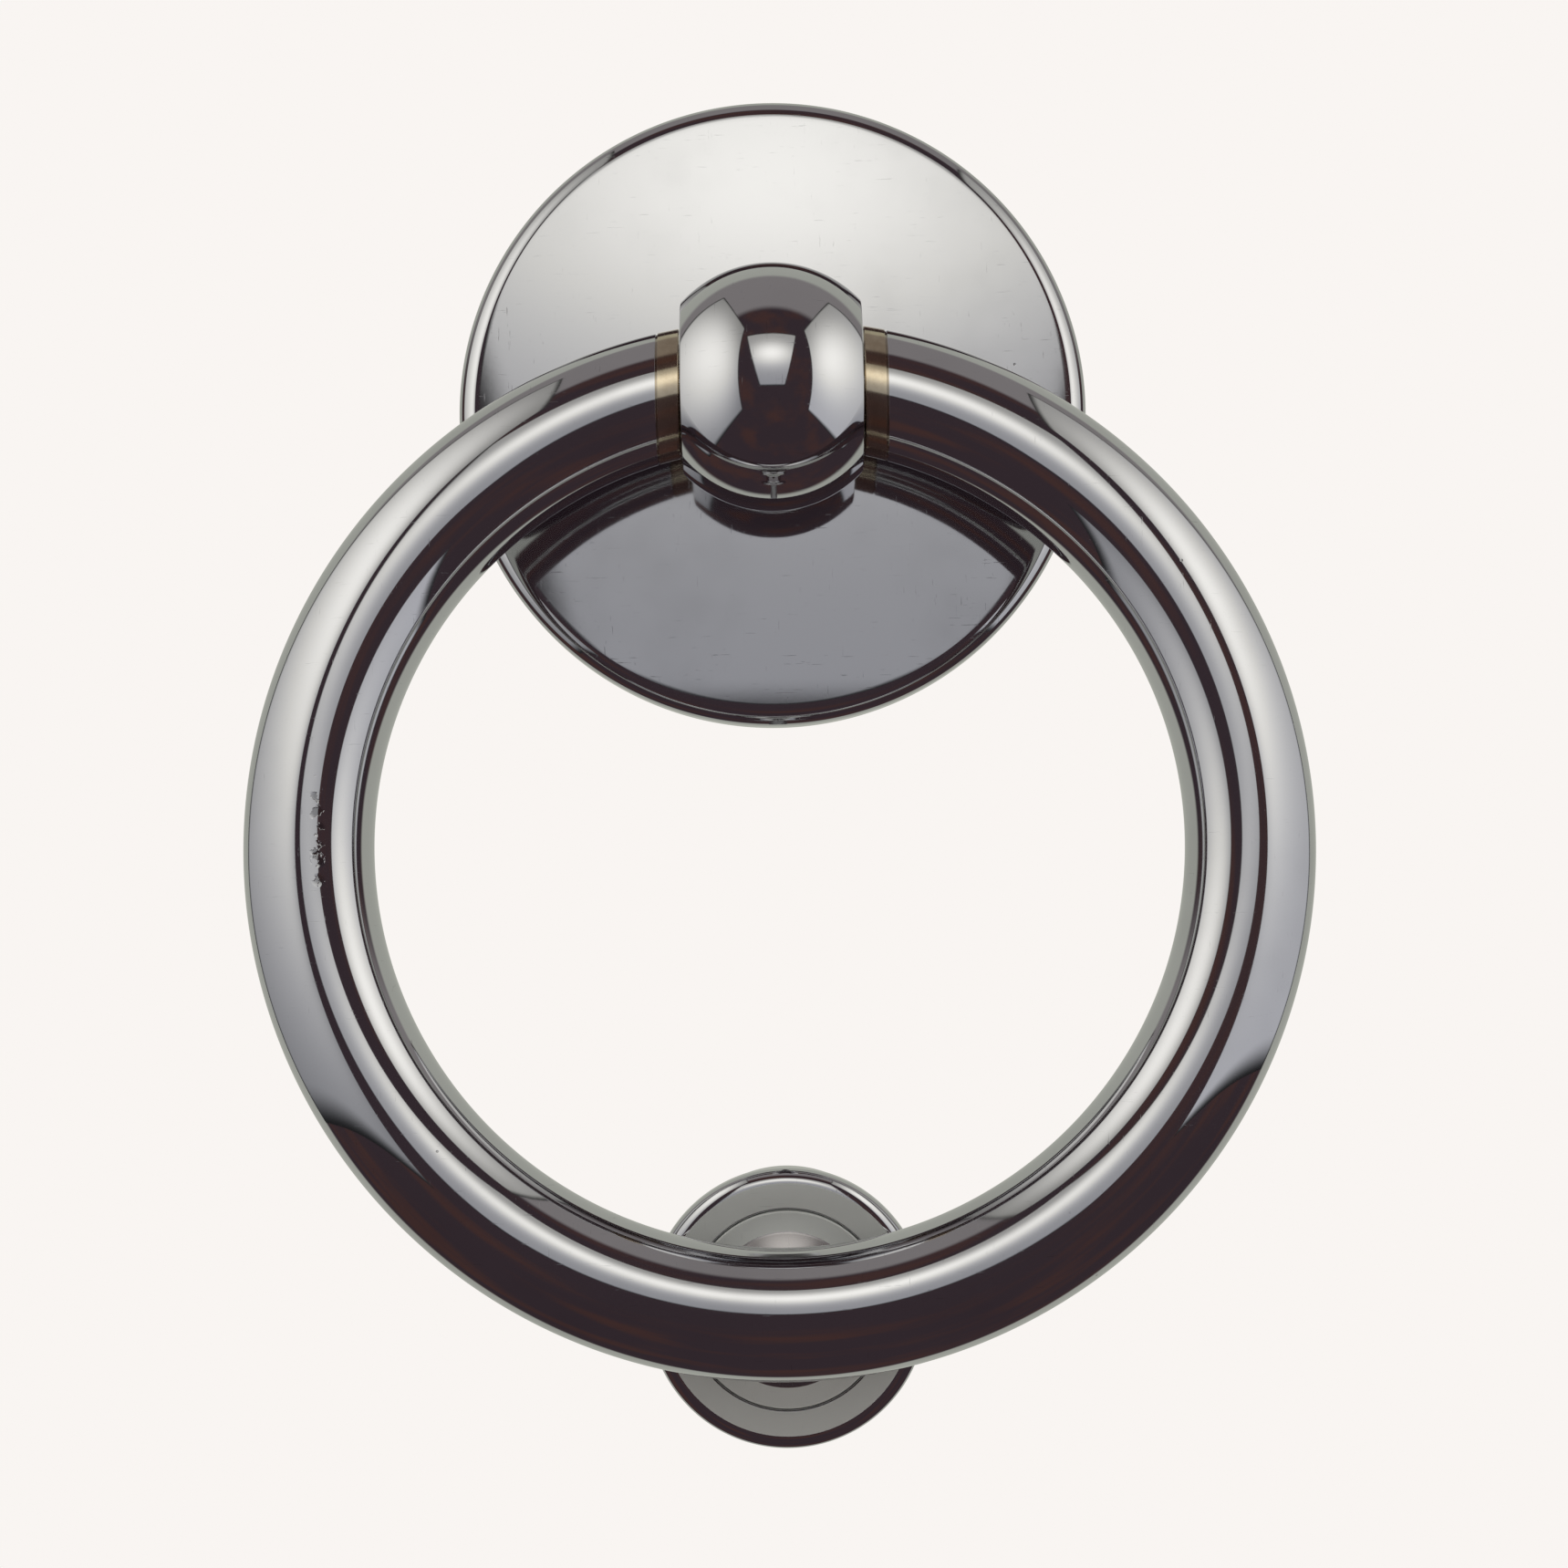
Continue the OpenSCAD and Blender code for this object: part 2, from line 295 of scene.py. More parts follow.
def ball_outline():
    """The ball's curve from the middle to each flat, softly rounded, with the bore for the bushes."""
    inner = ball_r - ball_edge
    side_x = flat_x - ball_edge
    side_a = math.asin(side_x / inner)
    corner = Vector((inner * math.cos(side_a), side_x))
    half = []
    for k in range(ball_steps + 1):
        a = side_a * k / ball_steps
        half.append(Vector((ball_r * math.cos(a), ball_r * math.sin(a))))
    for k in range(1, edge_steps + 1):
        a = side_a + (math.pi / 2 - side_a) * k / edge_steps
        half.append(corner + ball_edge * Vector((math.cos(a), math.sin(a))))
    half += [Vector((bush_r + break_edge, flat_x)), Vector((bush_r, flat_x - break_edge))]
    other = [Vector((p.x, -p.y)) for p in half[1:]]
    return half + other[::-1]


ball = turned("knuckle_polished", ball_outline(), place_along_x, turns=288, closed=True)
neck = turned("knuckle_neck", rounded([
    (0.0, neck_root, 0),
    (neck_r, neck_root, 0),
    (neck_r, seat_h, 0),
    (spigot_r, seat_h, 0),
    (spigot_r, spigot_h, spigot_bevel),
    (0.0, spigot_h, 0),
]), place_off_door, turns=192)
carve(ball, neck, "UNION")
drill(ball, Vector((0, overshoot, 0)), forwards, overshoot - stud_low.y + hole_spare, root_hole_r)
drill(ball, Vector((0, overshoot - seat_h, dowel_z)), forwards, overshoot - dowel_low.y - seat_h, dowel_r)
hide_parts("knuckle")
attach(ball, "fixed")
print("knuckle faces:", len(ball.data.polygons))

# %% [markdown]
# ## The ring and its collars
# The ring is a round bar bent into a circle, with its two ends sawn off square to the pivot line. Each
# end carries a thin brass collar that rubs on the knuckle. A mesh torus would not have its ends where
# the saw cut them, so we lay the rows ourselves: every row starts at the cut and runs round the ring.

# %% Lay the bar of the ring
lean_turn = Matrix.Translation(pivot) @ Matrix.Rotation(-lean, 4, "X")
seam = 0.12 * mm


def on_bar(sweep, around, r):
    """A point on a bar of radius r; sweep goes round the ring from its top, around goes round the bar."""
    out = ring_r + r * math.cos(around)
    return Vector((out * math.sin(sweep), r * math.sin(around), out * math.cos(sweep) - ring_hang))


def cut_sweep(x, around, r):
    """The sweep at which that line along the bar crosses the plane x."""
    return math.asin(x / (ring_r + r * math.cos(around)))


def bar_piece(name, rows, around_steps=120):
    """A closed stretch of bar. rows holds (function of around giving the sweep, radius)."""
    verts = []
    for sweep_at, r in rows:
        for k in range(around_steps):
            around = math.tau * k / around_steps
            verts.append(lean_turn @ on_bar(sweep_at(around), around, r))
    faces = []
    for i in range(len(rows) - 1):
        for k in range(around_steps):
            a = i * around_steps + k
            b = i * around_steps + (k + 1) % around_steps
            faces.append((a, b, b + around_steps, a + around_steps))
    last = (len(rows) - 1) * around_steps
    faces.append(tuple(range(around_steps - 1, -1, -1)))
    faces.append(tuple(range(last, last + around_steps)))
    return new_piece(name, verts, faces)


def between(x, share):
    """Rows that run from the cut at x, round the bottom, to the mirrored cut."""
    def sweep_at(around):
        start = cut_sweep(x, around, bar_r)
        return start + (math.tau - 2 * start) * share
    return sweep_at


def at_plane(x, r):
    return lambda around: cut_sweep(x, around, r)


ring_steps = 640
ring_rows = [(at_plane(collar_x1, bar_r - seam), bar_r - seam)]
ring_rows += [(between(collar_x1 + seam, k / ring_steps), bar_r) for k in range(ring_steps + 1)]
ring_rows += [(lambda around: math.tau - cut_sweep(collar_x1, around, bar_r - seam), bar_r - seam)]
ring = bar_piece("ring_bent_bar", ring_rows)
print("ring faces:", len(ring.data.polygons))

# %% Drill the ring for its pins and grub screws
grub_r = 1.5 * mm
grub_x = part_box("pin_grub_screws")[1].x - grub_r
pin_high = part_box("pivot_pin_right")[1]
pin_r = pin_high.z - pivot.z
ring_back = lean_turn.to_3x3() @ Vector((0, 1, 0))
for side in (-1, 1):
    across = Vector((side, 0, 0))
    drill(ring, pivot + across * collar_x0, across, pin_high.x - collar_x0 + break_edge, pin_r)
    drill(ring, pivot + across * grub_x, ring_back, 2 * bar_r, grub_r)
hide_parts("ring")
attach(ring, "swing_ring")
print("ring faces after drilling:", len(ring.data.polygons))

# %% Cut the two collars
collar_steps = 8
collars = []
for side, word in ((-1, "left"), (1, "right")):
    def swept(x, r, side=side):
        return lambda around: side * cut_sweep(x, around, r)
    inner_x = collar_x0 + seam
    outer_x = collar_x1 - seam
    rows = [(swept(collar_x0, bar_r - seam), bar_r - seam)]
    for k in range(collar_steps + 1):
        rows.append((swept(inner_x + (outer_x - inner_x) * k / collar_steps, bar_r), bar_r))
    rows.append((swept(collar_x1, bar_r - seam), bar_r - seam))
    collar = bar_piece("collar_" + word + "_brass", rows)
    drill(collar, pivot, Vector((side, 0, 0)), collar_x1 + overshoot, pin_r)
    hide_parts("collar_" + word)
    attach(collar, "swing_ring")
    collars.append(collar)
print("collars:", [c.name for c in collars])

# %% [markdown]
# ## The striker
# The ring falls on this part, so it is short and stout: a foot that lies on the door, a waisted stem,
# a round head, and a separate anvil let into the head. The fine groove between head and anvil is what
# the eye reads as a ring on the face, so both edges of it are rounded.

# %% Turn the striker's body and anvil
foot_r = 12 * mm
foot_t = 3.5 * mm
stem_r = 7.5 * mm
flare = 2.6 * mm
foot_edge = 1.5 * mm
foot_rim = 0.3 * mm
head_t = 6 * mm
under_r = 3 * mm
head_edge = 1.5 * mm
pocket_r = 9.6 * mm
pocket_h = face_h - 3.5 * mm
seam_bevel = 0.25 * mm
head_h = face_h - head_t

anvil_root_r = 3.5 * mm
anvil_root_h = pocket_h - 6 * mm
mouth_r = stud_high.x + running_gap

body_outline = rounded([
    (0.0, hole_spare - stud_low.y, 0),
    (root_hole_r, hole_spare - stud_low.y, 0),
    (root_hole_r, stud_step, 0),
    (mouth_r, stud_step, 0),
    (mouth_r, 0.0, 0),
    (foot_r, 0.0, foot_rim),
    (foot_r, foot_t, foot_edge),
    (stem_r, foot_t, flare),
    (stem_r, head_h, flare),
    (head_r, head_h, under_r),
    (head_r, face_h, head_edge),
    (pocket_r, face_h, seam_bevel),
    (pocket_r, pocket_h, 0),
    (anvil_root_r, pocket_h, 0),
    (anvil_root_r, anvil_root_h - hole_spare, 0),
    (0.0, anvil_root_h - hole_spare, 0),
], steps=14)
striker = turned("striker_turned", body_outline, place_off_door, z=striker_z, turns=288)
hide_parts("striker_body")
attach(striker, "fixed")

boss_r = 7.5 * mm
boss_h = anvil_top - face_h
boss_dome_r = (boss_r ** 2 + boss_h ** 2) / (2 * boss_h)
boss_steps = 32


def anvil_outline():
    """The root in its hole, a flat rim with a bevelled edge, then the low dome the ring lands on."""
    points = rounded([
        (0.0, anvil_root_h, 0),
        (anvil_root_r, anvil_root_h, 0),
        (anvil_root_r, pocket_h, 0),
        (anvil_r, pocket_h, 0),
        (anvil_r, face_h, seam_bevel),
        (boss_r, face_h, 0),
    ])
    reach = math.asin(boss_r / boss_dome_r)
    for k in range(1, boss_steps + 1):
        a = reach * (1 - k / boss_steps)
        points.append(Vector((boss_dome_r * math.sin(a), anvil_top + boss_dome_r * (math.cos(a) - 1))))
    return points


anvil = turned("striker_anvil_turned", anvil_outline(), place_off_door, z=striker_z, turns=240)
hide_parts("striker_anvil")
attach(anvil, "fixed")
print("striker faces:", len(striker.data.polygons), "anvil faces:", len(anvil.data.polygons))

# %% [markdown]
# ## Threaded studs
# Two studs pass through the door. A screw thread is one groove wound round a rod, so we wind it for
# real: each row of points runs along the helix, and the rod is then trimmed at both ends by a plane
# and capped. The lanes are the corners of the groove: how far along one turn, and how deep.
# Cutting rings into a rod would be quicker, but rings do not lead a nut anywhere.

# %% Wind a thread
pitch = 1.0 * mm
thread_depth = 0.6 * mm
tip_bevel = 0.7 * mm
lanes = [(0.0, 0.0), (0.12, 0.0), (0.46, 1.0), (0.66, 1.0)]
thread_angle = 25


def threaded_rod(name, r, start, end, z=0.0, segments=48):
    """A rod that is threaded from start to end along +Y, with bevelled tips."""
    turns = int((end - start) / pitch) + 3
    verts = []
    for step in range(turns * segments + 1):
        angle = math.tau * step / segments
        for lane, depth in lanes:
            y = start - pitch + pitch * (step / segments + lane)
            tip = max(0.0, tip_bevel - (y - start), tip_bevel - (end - y))
            here = min(r - depth * thread_depth, r - tip)
            here = max(here, r - tip_bevel - thread_depth)
            verts.append((here * math.cos(angle), y, z + here * math.sin(angle)))
    faces = []
    width = len(lanes)
    for step in range(turns * segments):
        for i in range(width):
            a = step * width + i
            b = a + width
            if i < width - 1:
                faces.append((a, b, b + 1, a + 1))
            elif step + segments + 1 <= turns * segments:
                up = (step + segments) * width
                faces.append((a, b, up + width, up))
    bm = bmesh.new()
    rows = [bm.verts.new(v) for v in verts]
    for f in faces:
        bm.faces.new([rows[i] for i in f])
    for y, way in ((start, -1), (end, 1)):
        geometry = bm.verts[:] + bm.edges[:] + bm.faces[:]
        trimmed = bmesh.ops.bisect_plane(
            bm, geom=geometry, dist=1e-8, plane_co=(0, y, 0), plane_no=(0, way, 0), clear_outer=True)
        rim = [e for e in trimmed["geom_cut"] if isinstance(e, bmesh.types.BMEdge)]
        bmesh.ops.edgenet_fill(bm, edges=rim)
    bmesh.ops.remove_doubles(bm, verts=bm.verts, dist=weld)
    bmesh.ops.recalc_face_normals(bm, faces=bm.faces)
    mesh = bpy.data.meshes.new(name)
    bm.to_mesh(mesh)
    bm.free()
    rod = bpy.data.objects.new(name, mesh)
    bpy.context.scene.collection.objects.link(rod)
    flow_shading(rod, angle=thread_angle)
    return rod


studs = []
for node, z in (("head_stud", 0.0), ("striker_stud", striker_z)):
    low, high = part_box(node)
    stud = threaded_rod(node + "_threaded", high.x, stud_step, high.y, z)
    root = threaded_rod("stud_root", stud_root, low.y, 2 * stud_step, z)
    carve(stud, root, "UNION")
    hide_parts(node)
    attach(stud, "fixed")
    studs.append(stud)
print("faces in one stud:", len(studs[0].data.polygons))

# %% [markdown]
# ## A short way to write materials
# Shader maths is easier to read as sums than as a web of nodes. The small class below stands for one
# wire in a node tree. Adding or multiplying wires makes the Math nodes, and `node` makes any other
# node from its settings and the values of its sockets.

# %% A wire that does maths
class Wire:
    """One output of a node; sums written with wires become Math nodes."""

    def __init__(self, tree, socket=None):
        self.tree = tree
        self.socket = socket

    def node(self, kind, settings, sockets, out=0):
        """Any node: its settings come first, then the values or wires of its sockets."""
        made = self.tree.nodes.new("ShaderNode" + kind)
        for name, value in settings.items():
            setattr(made, name, value)
        for name, value in sockets.items():
            if isinstance(value, Wire):
                self.tree.links.new(value.socket, made.inputs[name])
            else:
                made.inputs[name].default_value = value
        return Wire(self.tree, made.outputs[out] if made.outputs else None)

    def maths(self, operation, a, b=0.0, clamp=False):
        return self.node("Math", {"operation": operation, "use_clamp": clamp}, {0: a, 1: b})

    def __add__(self, other):
        return self.maths("ADD", self, other)

    def __radd__(self, other):
        return self.maths("ADD", other, self)

    def __sub__(self, other):
        return self.maths("SUBTRACT", self, other)

    def __rsub__(self, other):
        return self.maths("SUBTRACT", other, self)

    def __mul__(self, other):
        return self.maths("MULTIPLY", self, other)

    def __rmul__(self, other):
        return self.maths("MULTIPLY", other, self)

    def __truediv__(self, other):
        return self.maths("DIVIDE", self, other)

    def clamped(self):
        return self.maths("ADD", self, 0.0, clamp=True)

    def step_up(self, low, high):
        """0 below low, 1 above high, and a soft step between."""
        return self.node("MapRange", {"interpolation_type": "SMOOTHSTEP"}, {0: self, 1: low, 2: high})

    def blend(self, first, second):
        """A colour from first to second as this wire goes from 0 to 1; both may be wires or colours."""
        ends = [end if isinstance(end, Wire) else (*end, 1) for end in (first, second)]
        return self.node("Mix", {"data_type": "RGBA"}, {0: self, 6: ends[0], 7: ends[1]}, out=2)


def fresh_material(name):
    material = bpy.data.materials.new(name)
    material.use_nodes = True
    material.node_tree.nodes.clear()
    return material, Wire(material.node_tree)


def cloud(sheet, place, scale, detail=2.0, roughness=0.5, squash=None):
    """Soft noise with about one blob in each 1/scale metres; squash stretches it into streaks."""
    if squash:
        place = sheet.node("Mapping", {}, {"Vector": place, "Scale": squash})
    return sheet.node("TexNoise", {}, {
        "Vector": place, "Scale": scale, "Detail": detail, "Roughness": roughness})


def specks(sheet, place, scale, size):
    """Small round spots, 1 inside and 0 outside, spread over a grid of cells."""
    cell = sheet.node("TexVoronoi", {"feature": "F1"}, {"Vector": place, "Scale": scale})
    return 1 - cell.step_up(size * 0.6, size)


bump_size = 0.02 * mm


def finish_metal(sheet, colour, roughness, height, metallic=1.0):
    """The metal itself: colour, roughness and height vary, everything else is one number."""
    bump = sheet.node("Bump", {}, {"Strength": 1.0, "Distance": bump_size, "Height": height})
    metal = sheet.node("BsdfPrincipled", {}, {
        "Base Color": colour, "Roughness": roughness, "Metallic": metallic, "Normal": bump})
    sheet.node("OutputMaterial", {}, {"Surface": metal})


print("material helpers ready")

# %% [markdown]
# ## Polished chrome plate
# Chrome is a bluish mirror. What tells real plating from a computer mirror is small: a slow ripple
# from the hand polishing below it, hair scratches that catch light, a bloom of fingerprints that
# dulls it in patches, and a few pits. Each of those is one noise below, at its own scale. The ring
# also has a row of scuffs on its left side, where the plating is broken into small flecks.

# %% Mix the chrome
bright_chrome = (0.62, 0.62, 0.635)
worn_shade = 0.55
scuff_size = 0.9 * mm


def chrome(name, tint=bright_chrome, bloom=1.0, satin=0.0, metal=1.0, scuffs=()):
    """Plated metal; bloom scales the fingerprints, satin adds roughness, scuffs are points."""
    material, sheet = fresh_material(name)
    place = sheet.node("TexCoord", {}, {}, out=3)
    ripple = cloud(sheet, place, 55.0, detail=1.0)
    smear = cloud(sheet, place, 38.0, detail=4.0, roughness=0.6)
    grain = cloud(sheet, place, 900.0, detail=3.0)
    hair_a = cloud(sheet, place, 260.0, detail=3.0, roughness=0.7, squash=(1.0, 1.0, 18.0))
    hair_b = cloud(sheet, place, 260.0, detail=3.0, roughness=0.7, squash=(16.0, 1.0, 1.5))
    hairs = hair_a.step_up(0.66, 0.74) + hair_b.step_up(0.67, 0.75)
    pits = specks(sheet, place, 420.0, 0.07) * cloud(sheet, place, 60.0).step_up(0.64, 0.68)
    dull = smear.step_up(0.45, 0.75)
    height = ripple * 0.8 + grain * 0.02 - pits * 0.25 - hairs * 0.04
    worn = hairs * 0.35 + dull * 0.25 * bloom + pits
    for spot in scuffs:
        gap = sheet.node("VectorMath", {"operation": "DISTANCE"}, {0: place, 1: spot}, out=1)
        flecks = cloud(sheet, place, 1100.0, detail=3.0).step_up(0.48, 0.52)
        mark = (1 - gap.step_up(scuff_size * 0.5, scuff_size)) * flecks
        worn = worn + mark
        height = height - mark
    colour = worn.clamped().blend(tint, tuple(c * worn_shade for c in tint))
    roughness = 0.035 + satin + dull * 0.05 * bloom + hairs * 0.05 + grain * 0.01
    finish_metal(sheet, colour, roughness, height, metallic=metal)
    return material


# %% Turning marks for the plate's back
ring_waves = 11000.0


def turned_back(name):
    """Plate that was turned but not polished: fine rings round the middle."""
    material, sheet = fresh_material(name)
    place = sheet.node("TexCoord", {}, {}, out=3)
    x = sheet.node("SeparateXYZ", {}, {0: place}, out=0)
    z = sheet.node("SeparateXYZ", {}, {0: place}, out=2)
    radius = sheet.maths("SQRT", x * x + z * z)
    rings = sheet.maths("SINE", radius * ring_waves) * 0.5 + 0.5
    wander = cloud(sheet, place, 90.0, detail=5.0)
    colour = wander.step_up(0.35, 0.7).blend((0.50, 0.50, 0.51), (0.40, 0.395, 0.385))
    finish_metal(sheet, colour, 0.24 + rings * 0.06 + wander * 0.12, rings * 0.5 + wander * 0.3)
    return material


# %% [markdown]
# ## Brass, steel, bronze and black oxide
# The collars are bare brass: warm, tarnished in patches and rubbed brighter in streaks. The studs,
# pins, nut, washer and dowel are zinc plated steel, whose crystals give a soft mottle. The bushes are
# porous bronze. The grub screws are blackened, which is a dark, satin, slightly oily coat.

# %% Mix the other metals
def brass(name):
    material, sheet = fresh_material(name)
    place = sheet.node("TexCoord", {}, {}, out=3)
    tarnish = cloud(sheet, place, 220.0, detail=6.0, roughness=0.65)
    rubbed = cloud(sheet, place, 500.0, detail=3.0, squash=(12.0, 1.0, 1.0))
    colour = tarnish.step_up(0.35, 0.7).blend((0.68, 0.59, 0.44), (0.50, 0.41, 0.29))
    roughness = 0.05 + tarnish * 0.10 + rubbed * 0.05
    finish_metal(sheet, colour, roughness, tarnish * 0.3 + rubbed * 0.2)
    return material


def zinc(name):
    material, sheet = fresh_material(name)
    place = sheet.node("TexCoord", {}, {}, out=3)
    crystal = sheet.node("TexVoronoi", {"feature": "F1"}, {"Vector": place, "Scale": 900.0}, out=1)
    mottle = cloud(sheet, place, 300.0, detail=5.0)
    crystal = sheet.node("RGBToBW", {}, {0: crystal})
    blend = (crystal * 0.5 + mottle * 0.6).clamped()
    colour = blend.blend((0.48, 0.48, 0.50), (0.66, 0.66, 0.68))
    finish_metal(sheet, colour, 0.22 + mottle * 0.16, mottle * 0.6 + crystal * 0.2)
    return material


def bronze(name):
    material, sheet = fresh_material(name)
    place = sheet.node("TexCoord", {}, {}, out=3)
    pores = specks(sheet, place, 1500.0, 0.3)
    stain = cloud(sheet, place, 250.0, detail=5.0)
    colour = (stain * 0.7 + pores * 0.4).clamped().blend((0.50, 0.33, 0.17), (0.24, 0.15, 0.08))
    finish_metal(sheet, colour, 0.32 + stain * 0.2 + pores * 0.1, stain * 0.3 - pores * 0.6)
    return material


def black_oxide(name):
    material, sheet = fresh_material(name)
    place = sheet.node("TexCoord", {}, {}, out=3)
    oil = cloud(sheet, place, 500.0, detail=5.0)
    colour = oil.step_up(0.4, 0.7).blend((0.05, 0.05, 0.055), (0.10, 0.095, 0.09))
    finish_metal(sheet, colour, 0.32 + oil * 0.2, oil * 0.5)
    return material


# %% Dress every piece
face_slack = 0.01 * mm
seat_slack = 0.1 * mm


def dress(piece, *materials):
    """Give a piece its materials, in order of its slots."""
    piece.data.materials.clear()
    for material in materials:
        piece.data.materials.append(material)


def with_face(piece, is_face):
    """Give the second material of a piece to the faces for which is_face is true."""
    for face in piece.data.polygons:
        face.material_index = 1 if is_face(face) else 0


scuff_x = -ring_r + 1.7 * mm
scuff_y = -32 * mm
scuff_heights = (-35, -38, -40, -41.5, -43, -45, -46, -48, -50.5, -53)
ring_scuffs = [(scuff_x, scuff_y, z * mm) for z in scuff_heights]
plate_chrome = chrome("chrome_plate_face", bloom=1.2)
ring_chrome = chrome("chrome_ring", scuffs=ring_scuffs)
knuckle_chrome = chrome("chrome_knuckle", bloom=0.6)
striker_chrome = chrome("chrome_striker", bloom=1.4)
# Striker face and anvil rim: worn satin chrome, partly metal. Its grey-green base colour is a painted
# reflection of grey-green surroundings; the wear itself shows as real roughness.
worn_chrome_painted_reflection = chrome("chrome_striker_face", tint=(0.54, 0.555, 0.53), bloom=1.4, satin=0.35, metal=0.4)
# Anvil dome: a darker, mauve-grey copy of the chrome. This is painted shade for the dim reflection of the
# ring's bar above it; satin roughness softens its highlight.
dome_chrome_painted_shade = chrome("chrome_striker_dome", tint=(0.46, 0.44, 0.44), bloom=1.4, satin=0.22)
back_chrome = turned_back("chrome_turned_back")
collar_brass = brass("brass_collar")
bush_bronze = bronze("bronze_bush")
zinc_steel = zinc("zinc_steel")
black_screw = black_oxide("black_oxide")


def is_plate_back(face):
    """The flat back and the hollow in it, but not the seat for the neck."""
    if any(backplate.data.vertices[v].co.y < seat_slack - seat_h for v in face.vertices):
        return False
    return face.center.y > -break_edge or math.hypot(face.center.x, face.center.z) < recess_r + break_edge


dress(backplate, plate_chrome, back_chrome)
with_face(backplate, is_plate_back)
dress(ring, ring_chrome)
dress(ball, knuckle_chrome)
dress(striker, striker_chrome, worn_chrome_painted_reflection)
with_face(striker, lambda face: face.center.y < face_slack - face_h)
dress(anvil, worn_chrome_painted_reflection, dome_chrome_painted_shade)
with_face(anvil, lambda face: face.center.y < -face_slack - face_h)
for collar in collars:
    dress(collar, collar_brass)
for stud in studs:
    dress(stud, zinc_steel)
carried = {
    "post_nut": zinc_steel, "post_lock_washer": zinc_steel, "anti_turn_dowel": zinc_steel,
    "pivot_pin_left": zinc_steel, "pivot_pin_right": zinc_steel,
    "bush_left": bush_bronze, "bush_right": bush_bronze, "pin_grub_screws": black_screw,
}
for node, material in carried.items():
    for slot in frame["nodes"][node].material_slots:
        slot.material = material
print("materials:", len(bpy.data.materials))

# %% [markdown]
# ## The studio
# A mirror shows its surroundings, so lighting chrome means building a small room round it. Two soft
# walls stand left and right, the gap between them in front is dark, and in that gap hangs a window
# that is wider at its top. The lights are glowing cards that the camera does not see. Each fades to
# dark at its border, runs from cool at its foot to warm at its top, and has one brighter spot.

# %% Hang the light cards
cool = (0.93, 0.94, 1.0)
warm = (1.0, 0.985, 0.93)
frame_w = 0.04
frame_glow = 0.02


def light_card(name, corners, low, high, spot, spot_at, spot_size):
    """A glowing sheet: its strength at the foot and at the top, and the strength of its spot."""
    mesh = bpy.data.meshes.new(name)
    mesh.from_pydata(corners, [], [(0, 1, 2, 3)])
    layer = mesh.uv_layers.new(name="sheet")
    for loop, uv in zip(layer.data, ((0, 0), (1, 0), (1, 1), (0, 1))):
        loop.uv = uv
    card = bpy.data.objects.new(name, mesh)
    bpy.context.scene.collection.objects.link(card)
    material, sheet = fresh_material("glow_" + name)
    flat = sheet.node("TexCoord", {}, {}, out=2)
    place = sheet.node("TexCoord", {}, {}, out=3)
    across = sheet.node("SeparateXYZ", {}, {0: flat}, out=0)
    height = sheet.node("SeparateXYZ", {}, {0: flat}, out=1)
    away = sheet.node("VectorMath", {"operation": "SUBTRACT"}, {0: place, 1: spot_at})
    away = sheet.node("VectorMath", {"operation": "DIVIDE"}, {0: away, 1: spot_size})
    away = sheet.node("VectorMath", {"operation": "LENGTH"}, {0: away}, out=1)
    glare = sheet.maths("EXPONENT", away * away * -0.5)
    strength = low + height * (high - low) + glare * spot
    inside = across.step_up(0, frame_w) * (1 - across).step_up(0, frame_w)
    inside = inside * height.step_up(0, frame_w) * (1 - height).step_up(0, frame_w)
    glow = sheet.node("Emission", {}, {
        "Color": (height + glare).clamped().blend(cool, warm), "Strength": strength * inside + frame_glow})
    sheet.node("OutputMaterial", {}, {"Surface": glow})
    dress(card, material)
    card.visible_camera = False
    card.visible_shadow = False


def wall_corners(x, front, foot, top):
    """A wall that stands along the side at x and comes forward from the door."""
    return [(x, front, foot), (x, 0.0, foot), (x, 0.0, top), (x, front, top)]


def window_corners(y, foot_left, foot_right, foot, top_half, top):
    """A sheet that faces the door at y, with its own width at the foot and at the top."""
    return [(foot_left, y, foot), (foot_right, y, foot), (top_half, y, top), (-top_half, y, top)]


left_x = -0.09
light_card(
    "left_wall", wall_corners(left_x, front=-0.18, foot=-0.095, top=0.18),
    low=0.25, high=0.3, spot=1.0, spot_at=(left_x, -0.08, 0.035), spot_size=(1.0, 0.06, 0.06))
right_x = 0.10
light_card(
    "right_wall", wall_corners(right_x, front=-0.16, foot=-0.09, top=0.15),
    low=0.6, high=0.4, spot=0.85, spot_at=(right_x, -0.087, 0.035), spot_size=(1.0, 0.045, 0.045))
window_y = -0.37
light_card(
    "front_window", window_corners(window_y, -0.070, 0.072, foot=-0.049, top_half=0.17, top=0.30),
    low=0.42, high=0.44, spot=0.95, spot_at=(0.0, window_y, 0.14), spot_size=(0.085, 1.0, 0.052))
print("light cards hung")

# %% [markdown]
# ## The world and the floor
# The world is one pale tone for everything except mirrors. The camera sees that tone as the backdrop,
# and satin surfaces are lit by it. Mirrors see a dim brown room instead: greyer high up behind the
# camera, and grey-green behind the knocker. A shader can tell the two apart by the kind of its ray.
# The floor is a pale card. It is hidden from mirrors, or it would brighten everything that faces down.

# %% Paint the world
pale = (0.947, 0.913, 0.888)
dark_brown = (0.048, 0.033, 0.040)
red_brown = (0.075, 0.038, 0.035)
overhead_grey = (0.27, 0.25, 0.25)
backdrop_grey = (0.46, 0.47, 0.42)

